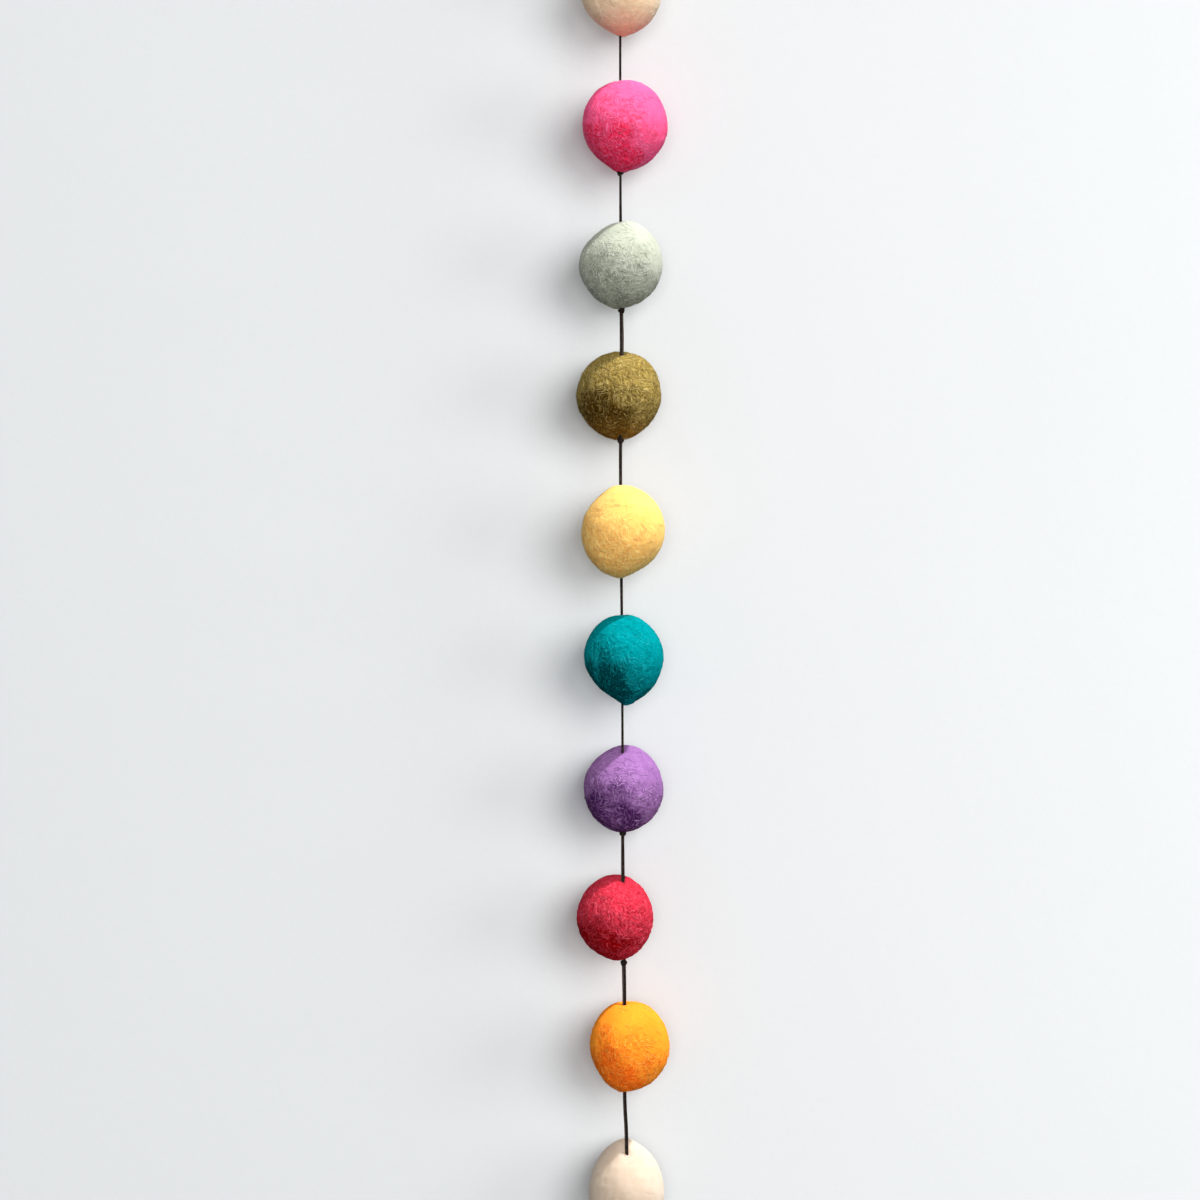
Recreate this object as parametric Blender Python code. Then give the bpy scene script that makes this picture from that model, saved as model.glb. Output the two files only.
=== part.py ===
"""Felt garland: ten wet-felted wool balls on a doubled thread, knotted under the balls, hung by the thread's own loop.

The origin is the inside of the loop's top, where a hook bears. +Z is up, the garland hangs down along -Z, and its
front faces -Y. The tables are in millimetres, and "drop" is always the distance below the origin.
"""
import math
from collections import namedtuple

import bmesh
import bpy

MM = 0.001

# The thread: one cord folded in half, so two strands run side by side
STRAND_THICKNESS = 0.65
STRAND_PITCH = 0.95
THREAD_CLEARANCE = 0.3

# The drop of the loop's knot, and the width and height of each kind of knot
LOOP_KNOT_DROP = 24.5
LOOP_KNOT = (2.7, 2.8)
BALL_KNOT = (1.9, 1.5)
END_KNOT = (2.9, 2.5)

# The trimmed tails under the end knot, which spread apart
TAIL_LENGTH = 11.0
TAIL_SPREAD = 1.3
TAIL_SHARES = (0.4, 1.0)
TAIL_TURN = 0.4

# A knot's ridges, from its lower end up: height as a share of its own, and girth as a share of its width
KNOT_RIDGES = ((-0.5, 0.55), (-0.3, 0.96), (-0.1, 0.86), (0.1, 1.0), (0.32, 0.92), (0.5, 0.5))
KNOT_LEAN = math.radians(9)

# Facets
BALL_SEGMENTS = 24
BALL_LEVELS = 15
CHANNEL_SIDES = 12
KNOT_SIDES = 10

# Steps of the search for the place where the thread meets the felt
HALVINGS = 40

# How far the felt swells and sinks between its sides, as a share of its radius
LUMP = 0.014

# One end of a ball. 0.5 is round, less is flatter and more is drawn out, on the left and on the right. side and
# back say how far the peak of that end leans from the middle of the ball.
End = namedtuple("End", "left right side back")

# One ball, from its widest level: rise up to its crown, fall down to its tip. knot is the knot under it, where it has
# one
Ball = namedtuple("Ball", "node drop side back width rise fall crown tip knot")
BALLS = (
    Ball("ball_01_cream", 48.0, 0.1, 0.5, 21.7, 11.6, 11.6,
         End(0.50, 0.48, 0.0, 0.5), End(0.78, 0.54, -0.2, -0.4), None),
    Ball("ball_02_pink", 83.4, 1.0, 0.5, 22.8, 12.0, 12.3,
         End(0.43, 0.48, 0.4, 0.0), End(0.83, 0.48, -1.7, -0.5), BALL_KNOT),
    Ball("ball_03_grey", 120.4, 0.0, 0.2, 22.4, 12.0, 11.4,
         End(0.74, 0.52, 0.3, 0.5), End(0.66, 0.48, -1.2, 0.0), BALL_KNOT),
    Ball("ball_04_olive", 154.6, -0.6, 2.6, 22.7, 11.7, 11.9,
         End(0.62, 0.39, -0.6, 1.5), End(0.59, 0.58, 0.1, 1.3), BALL_KNOT),
    Ball("ball_05_yellow", 191.3, 0.5, -1.0, 22.4, 12.9, 11.8,
         End(0.73, 0.43, -1.1, 0.6), End(0.52, 0.70, -0.6, -1.5), None),
    Ball("ball_06_teal", 224.4, 0.7, -1.0, 21.2, 11.6, 12.1,
         End(0.46, 0.54, 0.2, 0.8), End(0.85, 0.63, 0.5, -1.4), None),
    Ball("ball_07_purple", 259.1, 0.7, 2.8, 21.4, 11.6, 11.6,
         End(0.61, 0.56, 0.7, 1.6), End(0.56, 0.52, -0.4, -2.2), BALL_KNOT),
    Ball("ball_08_crimson", 293.3, -1.6, 2.2, 20.5, 11.2, 11.4,
         End(0.55, 0.51, 0.0, 1.3), End(0.59, 0.54, 0.4, -1.6), BALL_KNOT),
    Ball("ball_09_orange", 327.5, 2.4, 1.2, 21.3, 11.9, 11.8,
         End(0.40, 0.48, 0.0, 0.8), End(0.65, 0.45, -1.9, -2.3), None),
    Ball("ball_10_cream", 366.5, 1.5, 3.4, 20.4, 14.0, 10.4,
         End(0.63, 0.63, -0.4, 2.6), End(0.52, 0.54, 0.0, -2.6), END_KNOT),
)

FELT_COLOURS = {
    "ball_01_cream": (0.67, 0.53, 0.38),
    "ball_02_pink": (0.93, 0.06, 0.22),
    "ball_03_grey": (0.47, 0.50, 0.42),
    "ball_04_olive": (0.20, 0.13, 0.03),
    "ball_05_yellow": (0.91, 0.58, 0.10),
    "ball_06_teal": (0.00, 0.25, 0.26),
    "ball_07_purple": (0.22, 0.08, 0.38),
    "ball_08_crimson": (0.50, 0.02, 0.05),
    "ball_09_orange": (0.95, 0.26, 0.01),
    "ball_10_cream": (0.83, 0.68, 0.52),
}
FELT_ROUGHNESS = 0.95
THREAD_COLOUR = (0.018, 0.010, 0.006)
THREAD_ROUGHNESS = 0.7

# The way of the strand pair: how far it stands to the side, and its turn, where 0 is side by side seen from the
# front and 90 is one behind the other. There is a row where the pair goes into a ball and where it comes out.
Way = namedtuple("Way", "drop side turn")
ROUTE = (
    Way(24.5, 0.0, 0), Way(27.0, -0.1, 32), Way(30.0, -0.2, 62), Way(33.0, -0.2, 80), Way(36.0, -0.2, 90),
    Way(60.0, -0.2, 90), Way(71.0, -0.2, 90),
    Way(96.0, -0.15, 90), Way(108.0, -0.1, 80),
    Way(132.0, 0.1, 60), Way(143.0, 0.2, 50),
    Way(167.0, -0.1, 65), Way(178.0, -0.1, 72),
    Way(203.0, 0.1, 78), Way(213.0, 0.2, 82),
    Way(237.0, 0.35, 90), Way(247.5, 0.4, 92),
    Way(271.0, 0.45, 108), Way(282.0, 0.5, 118),
    Way(305.0, 0.75, 132), Way(315.5, 0.9, 125),
    Way(339.5, 0.95, 120), Way(352.5, 1.45, 120),
    Way(377.0, 1.6, 110), Way(379.0, 1.6, 100),
)

# The loop, from its knot up to its top: how far down, and half its width there
Bow = namedtuple("Bow", "drop half_width")
LOOP = (
    Bow(21.0, 1.05), Bow(17.0, 2.3), Bow(12.5, 3.6), Bow(8.0, 4.4),
    Bow(4.6, 4.45), Bow(1.9, 3.5), Bow(0.3, 1.9), Bow(-0.325, 0.0),
)


def clear_scene():
    for thing in list(bpy.data.objects):
        bpy.data.objects.remove(thing)


def link(name, mesh):
    thing = bpy.data.objects.new(name, mesh)
    bpy.context.scene.collection.objects.link(thing)
    return thing


def make_guide(thing):
    thing.hide_render = True
    thing.display_type = "WIRE"
    return thing


def add_material(thing, colour, roughness):
    material = bpy.data.materials.new(thing.name)
    material.use_nodes = True
    shader = material.node_tree.nodes["Principled BSDF"]
    shader.inputs["Base Color"].default_value = (*colour, 1.0)
    shader.inputs["Roughness"].default_value = roughness
    shader.inputs["Metallic"].default_value = 0.0
    thing.data.materials.append(material)


def stack_rings(name, rings):
    """A closed mesh through rings of points, bottom ring first, each ring counter-clockwise seen from above."""
    shape = bmesh.new()
    rows = [[shape.verts.new(point) for point in ring] for ring in rings]
    for low, high in zip(rows, rows[1:]):
        for i, corner in enumerate(low):
            after = (i + 1) % len(low)
            shape.faces.new((corner, low[after], high[after], high[i]))
    shape.faces.new(list(reversed(rows[0])))
    shape.faces.new(rows[-1])
    mesh = bpy.data.meshes.new(name)
    shape.to_mesh(mesh)
    shape.free()
    return mesh


def pair_side(drop):
    """How far the middle of the strand pair stands to the side at this drop."""
    for above, below in zip(ROUTE, ROUTE[1:]):
        if drop <= below.drop:
            break
    share = min((drop - above.drop) / (below.drop - above.drop), 1)
    return above.side + (below.side - above.side) * share


def felt_point(ball, index, level, around):
    """A point of the felt: level runs from -90 at the tip to 90 at the crown, around from 0 on the right."""
    height = math.sin(level)
    end = ball.crown if height > 0 else ball.tip
    reach = ball.rise if height > 0 else ball.fall
    roundness = (end.left + end.right) / 2 + (end.right - end.left) / 2 * math.cos(around)
    radius = ball.width / 2 * math.cos(level) ** (2 * roundness)
    swell = math.sin(3 * around + 1.7 * index) * math.cos(2 * level + index) + math.sin(2 * around + 2.3 * index) / 2
    radius *= 1 + LUMP * swell * abs(math.sin(around))
    lean = abs(height) ** 3
    side = ball.side + end.side * lean + radius * math.cos(around)
    back = ball.back + end.back * lean + radius * math.sin(around)
    return (side * MM, back * MM, (reach * height - ball.drop) * MM)


def add_ball(ball, index):
    """A felt ball as rolled, before the needle goes through it."""
    levels = [math.pi * (i / (BALL_LEVELS + 1) - 0.5) for i in range(1, BALL_LEVELS + 1)]
    turns = [2 * math.pi * i / BALL_SEGMENTS for i in range(BALL_SEGMENTS)]
    shape = bmesh.new()
    rows = [[shape.verts.new(felt_point(ball, index, level, turn)) for turn in turns] for level in levels]
    tip = shape.verts.new(felt_point(ball, index, -math.pi / 2, 0))
    crown = shape.verts.new(felt_point(ball, index, math.pi / 2, 0))
    for i in range(BALL_SEGMENTS):
        after = (i + 1) % BALL_SEGMENTS
        shape.faces.new((tip, rows[0][after], rows[0][i]))
        for low, high in zip(rows, rows[1:]):
            shape.faces.new((low[i], low[after], high[after], high[i]))
        shape.faces.new((rows[-1][i], rows[-1][after], crown))
    mesh = bpy.data.meshes.new(ball.node)
    shape.to_mesh(mesh)
    shape.free()
    return link(ball.node, mesh)


def felt_drop(ball, index, side):
    """The drop at which the line that hangs at this side, in the thread's plane, leaves the ball's felt."""
    near, far = 0.0, math.pi / 2
    for _ in range(HALVINGS):
        level = (near + far) / 2
        lean = math.sin(level) ** 3
        away_side = side - ball.side - ball.tip.side * lean
        away_back = -ball.back - ball.tip.back * lean
        around = math.atan2(away_back, away_side)
        x, y, z = felt_point(ball, index, -level, around)
        radius = math.hypot(x / MM - ball.side - ball.tip.side * lean, y / MM - ball.back - ball.tip.back * lean)
        if math.hypot(away_side, away_back) < radius:
            near = level
        else:
            far = level
    return -z / MM


def add_channel():
    """The way of the needle through every ball: the outline of both strands with the thread's clearance."""
    wide = (STRAND_PITCH + STRAND_THICKNESS) / 2 + THREAD_CLEARANCE
    narrow = STRAND_THICKNESS / 2 + THREAD_CLEARANCE
    rings = []
    for way in reversed(ROUTE):
        turn = math.radians(way.turn)
        ring = []
        for i in range(CHANNEL_SIDES):
            angle = 2 * math.pi * i / CHANNEL_SIDES
            along, across = wide * math.cos(angle), narrow * math.sin(angle)
            ring.append(((way.side + along * math.cos(turn) - across * math.sin(turn)) * MM,
                         (along * math.sin(turn) + across * math.cos(turn)) * MM, -way.drop * MM))
        rings.append(ring)
    return make_guide(link("needle_way", stack_rings("needle_way", rings)))


def strand_points(hand):
    """One strand from the loop's knot down to its trimmed tail. hand is 1 or -1."""
    points = []
    for way in ROUTE:
        along, away = math.cos(math.radians(way.turn)), math.sin(math.radians(way.turn))
        points.append((way.side + hand * STRAND_PITCH / 2 * along, hand * STRAND_PITCH / 2 * away, -way.drop))
    side, back, height = points[-1]
    for share in TAIL_SHARES:
        spread = hand * TAIL_SPREAD * share ** 1.5
        points.append((side + spread, back + TAIL_TURN * spread, height - TAIL_LENGTH * share))
    return points


def smooth(points):
    """The points with one more between each two, on a Catmull-Rom curve, the first and last point left out."""
    finer = []
    for before, start, end, after in zip(points, points[1:], points[2:], points[3:]):
        middle = [(9 * (s + e) - b - a) / 16 for b, s, e, a in zip(before, start, end, after)]
        finer += [start, tuple(middle)]
    return finer + [points[-2]]


def loop_points(first, last):
    """The hanging loop, over its top. first and last are the strands' points at its knot, where the loop closes."""
    rising = [(bow.half_width, 0.0, -bow.drop) for bow in LOOP]
    falling = [(-side, back, height) for side, back, height in reversed(rising[:-1])]
    return smooth([first] + rising + falling + [last])


def add_thread_line():
    """Both strands and the loop as one curve, because they are one thread folded in half."""
    right, left = strand_points(1), strand_points(-1)
    points = right[::-1] + loop_points(right[0], left[0]) + left
    curve = bpy.data.curves.new("thread_line", "CURVE")
    curve.dimensions = "3D"
    curve.bevel_depth = STRAND_THICKNESS / 2 * MM
    curve.bevel_resolution = 2
    curve.use_fill_caps = True
    spline = curve.splines.new("POLY")
    spline.points.add(len(points) - 1)
    for target, (x, y, z) in zip(spline.points, points):
        target.co = (x * MM, y * MM, z * MM, 1.0)
    line = link("thread_line", curve)
    bpy.context.view_layer.update()
    mesh = bpy.data.meshes.new_from_object(line.evaluated_get(bpy.context.evaluated_depsgraph_get()))
    bpy.data.objects.remove(line)
    return mesh


def knot_rings(drop, size, lean):
    """A ridged knot round both strands, centred at this drop and leaning by this angle."""
    width, height = size
    side = pair_side(drop)
    rings = []
    for along, girth in KNOT_RIDGES:
        ring = []
        for i in range(KNOT_SIDES):
            angle = 2 * math.pi * i / KNOT_SIDES
            x, y = width / 2 * girth * math.cos(angle), width / 2 * girth * math.sin(angle)
            z = along * height + x * math.sin(lean)
            ring.append(((side + x) * MM, y * MM, (z - drop) * MM))
        rings.append(ring)
    return rings


def knot_places():
    """Every knot of the thread: its drop, its size and its lean."""
    places = [(LOOP_KNOT_DROP, LOOP_KNOT, KNOT_LEAN)]
    for index, ball in enumerate(BALLS):
        if ball.knot is None:
            continue
        size = ball.knot
        exit_side = pair_side(ball.drop + ball.fall)
        half_width = size[0] / 2
        lowest = max(felt_drop(ball, index, exit_side + shift) for shift in (-half_width, 0, half_width))
        lean = KNOT_LEAN if index % 2 else -KNOT_LEAN
        places.append((lowest + THREAD_CLEARANCE + size[1] / 2, size, lean))
    return places


def add_thread():
    thread = link("thread", add_thread_line())
    knots = bmesh.new()
    for drop, size, lean in knot_places():
        one = stack_rings("knot", knot_rings(drop, size, lean))
        knots.from_mesh(one)
        bpy.data.meshes.remove(one)
    mesh = bpy.data.meshes.new("thread_knots")
    knots.to_mesh(mesh)
    knots.free()
    lumps = make_guide(link("thread_knots", mesh))
    fuse = thread.modifiers.new("knots", "BOOLEAN")
    fuse.operation = "UNION"
    fuse.solver = "EXACT"
    fuse.object = lumps
    add_material(thread, THREAD_COLOUR, THREAD_ROUGHNESS)
    thread.data.shade_smooth()


def add_balls(channel):
    for index, ball in enumerate(BALLS):
        felt = add_ball(ball, index)
        pierce = felt.modifiers.new("needle way", "BOOLEAN")
        pierce.operation = "DIFFERENCE"
        pierce.solver = "EXACT"
        pierce.object = channel
        add_material(felt, FELT_COLOURS[ball.node], FELT_ROUGHNESS)
        felt.data.shade_smooth()


clear_scene()
add_balls(add_channel())
add_thread()
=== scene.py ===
"""Felt garland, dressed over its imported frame: the felted balls, the doubled thread with its knots, and the stage.

Lengths are in metres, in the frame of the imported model. The garland hangs along -Z and its front faces -Y. Where a
table or a function works in millimetres, its name or its comment says so.
"""
import math
import random
from collections import namedtuple

import bmesh
import bpy
from bpy.props import FloatProperty, FloatVectorProperty, IntProperty, PointerProperty, StringProperty
from mathutils import Matrix, Vector, noise
from mathutils.bvhtree import BVHTree


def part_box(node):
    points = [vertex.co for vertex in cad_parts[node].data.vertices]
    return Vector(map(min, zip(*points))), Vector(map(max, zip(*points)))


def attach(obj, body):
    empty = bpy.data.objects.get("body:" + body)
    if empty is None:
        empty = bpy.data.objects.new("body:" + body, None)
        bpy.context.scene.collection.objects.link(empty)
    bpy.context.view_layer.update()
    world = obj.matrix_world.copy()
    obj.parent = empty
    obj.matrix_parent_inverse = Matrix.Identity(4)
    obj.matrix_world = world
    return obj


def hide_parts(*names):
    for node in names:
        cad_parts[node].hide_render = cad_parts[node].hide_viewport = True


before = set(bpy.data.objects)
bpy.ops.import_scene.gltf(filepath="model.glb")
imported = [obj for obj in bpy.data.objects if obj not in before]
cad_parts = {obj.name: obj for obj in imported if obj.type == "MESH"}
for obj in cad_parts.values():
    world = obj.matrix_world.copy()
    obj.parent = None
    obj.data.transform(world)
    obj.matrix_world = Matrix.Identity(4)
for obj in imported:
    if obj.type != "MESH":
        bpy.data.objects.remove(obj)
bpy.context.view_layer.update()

bl_info = {
    "name": "Felt garland",
    "version": (1, 0, 0),
    "blender": (4, 5, 0),
    "location": "View3D > Sidebar > Felt garland",
    "description": "Ten wet-felted wool balls on a doubled thread, before a plain wall",
    "category": "Object",
}

MM = 0.001
LAY_SEED = 7

# The felt of one ball: the record's slot, its colour setting, how deep it is crinkled where it is smooth and where it
# is rough, how strongly its strokes stand out, how far its rough side is painted in its deeper colour as painted
# shade, how far light soaks into it, how many loose fibres lie on it, the direction of its rough side, which is also
# its shaded side, from its middle, how deep the thread pulls its crown in and how far its tip is drawn out, in mm,
# and the setting of another colour that shows at its tip, which on the top ball is a painted reflection of the pink
# ball below
Felt = namedtuple("Felt", "slot colour smooth rough relief deep soak fibres rough_side dimple drawn tip")
LOWER_LEFT = (-0.45, -0.5, -0.74)
LOW = (-0.2, -0.5, -0.8)
FELTS = {
    "ball_01_cream": Felt("felt_cream", "cream_first", 0.2, 0.7, 0.8, 0.0, 0.6, 200, LOW, 0.3, 0.4, "peach"),
    "ball_02_pink": Felt("felt_pink", "pink", 0.1, 1.0, 2.0, 0.7, 0.1, 1000, LOWER_LEFT, 0.35, 0.5, None),
    "ball_03_grey": Felt("felt_grey", "grey", 0.15, 1.0, 2.0, 0.15, 0.4, 900, LOWER_LEFT, 0.35, 0.2, None),
    "ball_04_olive": Felt("felt_olive", "olive", 0.85, 1.2, 2.2, 0.97, 0.0, 1600, LOWER_LEFT, 0.8, 0.0, "amber"),
    "ball_05_yellow": Felt("felt_yellow", "yellow", 0.06, 0.9, 1.8, 0.05, 0.45, 400, LOWER_LEFT, 0.35, 0.3, None),
    "ball_06_teal": Felt("felt_teal", "teal", 0.25, 1.0, 1.5, 0.9, 0.0, 900, LOWER_LEFT, 0.35, 0.8, None),
    "ball_07_purple": Felt("felt_purple", "purple", 0.25, 1.0, 1.7, 0.97, 0.0, 1100, LOWER_LEFT, 0.8, 0.0, None),
    "ball_08_crimson": Felt("felt_crimson", "crimson", 0.6, 1.1, 1.9, 0.97, 0.0, 1200, LOWER_LEFT, 0.8, 0.1, None),
    "ball_09_orange": Felt("felt_orange", "orange", 0.05, 1.0, 1.8, 0.5, 0.25, 600, LOWER_LEFT, 0.5, 0.2, None),
    "ball_10_cream": Felt("felt_cream", "cream_last", 0.05, 0.3, 0.3, 0.0, 0.85, 25, LOWER_LEFT, 0.8, 0.0, None),
}

# The way of the strand pair, in mm: its drop below the loop's top, how far it stands to the side, and its turn in
# degrees, where 0 is side by side seen from the front and 90 is one behind the other
ROUTE = (
    (24.5, 0.0, 0), (27.0, -0.1, 32), (30.0, -0.2, 62), (33.0, -0.2, 80), (36.0, -0.2, 90), (60.0, -0.2, 90),
    (71.0, -0.2, 90), (96.0, -0.15, 90), (108.0, -0.1, 80), (132.0, 0.1, 60), (143.0, 0.2, 50), (167.0, -0.1, 65),
    (178.0, -0.1, 72), (203.0, 0.1, 78), (213.0, 0.2, 82), (237.0, 0.35, 90), (247.5, 0.4, 92), (271.0, 0.45, 108),
    (282.0, 0.5, 118), (305.0, 0.75, 132), (315.5, 0.9, 125), (339.5, 0.95, 120), (352.5, 1.45, 120),
    (377.0, 1.6, 110), (379.0, 1.6, 100),
)
# The loop, from its knot up to its top, in mm: the drop and half the width
LOOP = (
    (21.0, 1.05), (17.0, 2.3), (12.5, 3.6), (8.0, 4.4), (4.6, 4.45), (1.9, 3.5), (0.3, 1.9), (-0.325, 0.0),
)
# The trimmed tails under the end knot: their length and spread in mm
TAIL_LENGTH = 11.0
TAIL_SPREAD = 1.3
TAIL_SHARES = (0.4, 1.0)
TAIL_TURN = 0.4

# The knots: name, drop of the middle, width and height in mm, lean in degrees
Knot = namedtuple("Knot", "name drop width height lean turn")
KNOTS = (
    Knot("knot_loop", 24.5, 2.7, 2.8, 9, 0),
    Knot("knot_pink", 96.05, 1.9, 1.5, 9, 40),
    Knot("knot_grey", 132.5, 1.9, 1.5, -9, 200),
    Knot("knot_olive", 166.85, 1.9, 1.5, 9, 110),
    Knot("knot_purple", 271.05, 1.9, 1.5, -9, 300),
    Knot("knot_crimson", 305.3, 1.9, 1.5, 9, 75),
    Knot("knot_end", 378.5, 2.9, 2.5, 9, 160),
)


def deselect_all():
    """Leave nothing selected, because the frame comes with its nodes selected."""
    if bpy.context.mode != "OBJECT":
        bpy.ops.object.mode_set(mode="OBJECT")
    bpy.ops.object.select_all(action="DESELECT")


def make_active(thing):
    """Select this object alone and make it active."""
    deselect_all()
    thing.select_set(True)
    bpy.context.view_layer.objects.active = thing


def apply_all(thing):
    """Apply every modifier of this object, in their order."""
    make_active(thing)
    for modifier in list(thing.modifiers):
        bpy.ops.object.modifier_apply(modifier=modifier.name)


def set_place(thing):
    """Move the object's place, turn and size into its mesh."""
    make_active(thing)
    bpy.ops.object.transform_apply(location=True, rotation=True, scale=True)


def add_mesh(name, points, faces):
    """An object from points and faces, in the scene."""
    mesh = bpy.data.meshes.new(name)
    mesh.from_pydata(points, [], faces)
    mesh.update()
    thing = bpy.data.objects.new(name, mesh)
    bpy.context.scene.collection.objects.link(thing)
    return thing


def shade(colour, share):
    """A colour multiplied by a share, with its alpha."""
    return (*(part * share for part in colour), 1.0)


def in_the_shade(colour):
    """The deeper colour, each channel raised to a power as where light has passed through the wool more than once:
    painted shade on the shaded rough side, in the creases and in the grooves, and the faint blotches.
    """
    return (*(part ** 2.4 for part in colour), 1.0)


def in_the_light(colour):
    """The paler colour, still in its own hue, painted on the crests of the strokes and on the thick loose fibres: a
    painted highlight where they catch the light. The sheen takes it too.
    """
    return (*(0.02 + min(1.22 * part ** 0.7, 0.96) for part in colour), 1.0)


class Nodes:
    """A node material under way: adds nodes and joins their sockets."""

    def __init__(self, name):
        self.material = bpy.data.materials.new(name)
        self.material.use_nodes = True
        self.tree = self.material.node_tree
        self.shader = self.tree.nodes["Principled BSDF"]

    def add(self, kind, settings=None, sockets=None):
        """A node of this kind. Sockets are set to a value, or joined to the output that is given."""
        node = self.tree.nodes.new(kind)
        for key, value in (settings or {}).items():
            setattr(node, key, value)
        for key, value in (sockets or {}).items():
            self.feed(node.inputs[key], value)
        return node

    def feed(self, socket, value):
        if isinstance(value, bpy.types.NodeSocket):
            self.tree.links.new(value, socket)
        else:
            socket.default_value = value

    def math(self, operation, first, second=0.0, clamp=False):
        """The output of a Math node."""
        node = self.tree.nodes.new("ShaderNodeMath")
        node.operation = operation
        node.use_clamp = clamp
        self.feed(node.inputs[0], first)
        self.feed(node.inputs[1], second)
        return node.outputs[0]

    def spread(self, value, low, high, new_low=0.0, new_high=1.0):
        """The output of a Map Range node, held inside its range."""
        sockets = {"From Min": low, "From Max": high, "To Min": new_low, "To Max": new_high, "Value": value}
        return self.add("ShaderNodeMapRange", None, sockets).outputs[0]

    def blend(self, share, first, second):
        """The output of a colour mix."""
        node = self.tree.nodes.new("ShaderNodeMix")
        node.data_type = "RGBA"
        self.feed(node.inputs[0], share)
        self.feed(node.inputs[6], first)
        self.feed(node.inputs[7], second)
        return node.outputs[2]

    def noise(self, place, scale, turn=(0, 0, 0), stretch=(1, 1, 1), detail=2.0, distortion=0.0):
        """The value of a noise over a turned and stretched pattern. The scale is in features per metre."""
        sockets = {"Vector": place, "Rotation": turn, "Scale": tuple(scale * part for part in stretch)}
        mapped = self.add("ShaderNodeMapping", None, sockets).outputs[0]
        sockets = {"Vector": mapped, "Scale": 1.0, "Detail": detail, "Roughness": 0.6, "Distortion": distortion}
        return self.add("ShaderNodeTexNoise", None, sockets).outputs[0]

    def swirl(self, place, scale, amount):
        """The place, pushed aside by a slow noise, so a pattern on it runs in curves. The amount is in metres."""
        slow = self.add("ShaderNodeTexNoise", None, {"Vector": place, "Scale": scale, "Detail": 1.0}).outputs[1]
        push = self.add("ShaderNodeVectorMath", {"operation": "SUBTRACT"}, {0: slow, 1: (0.5, 0.5, 0.5)}).outputs[0]
        return self.add("ShaderNodeVectorMath", {"operation": "MULTIPLY_ADD"},
                        {0: push, 1: (amount, amount, amount), 2: place}).outputs[0]


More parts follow.
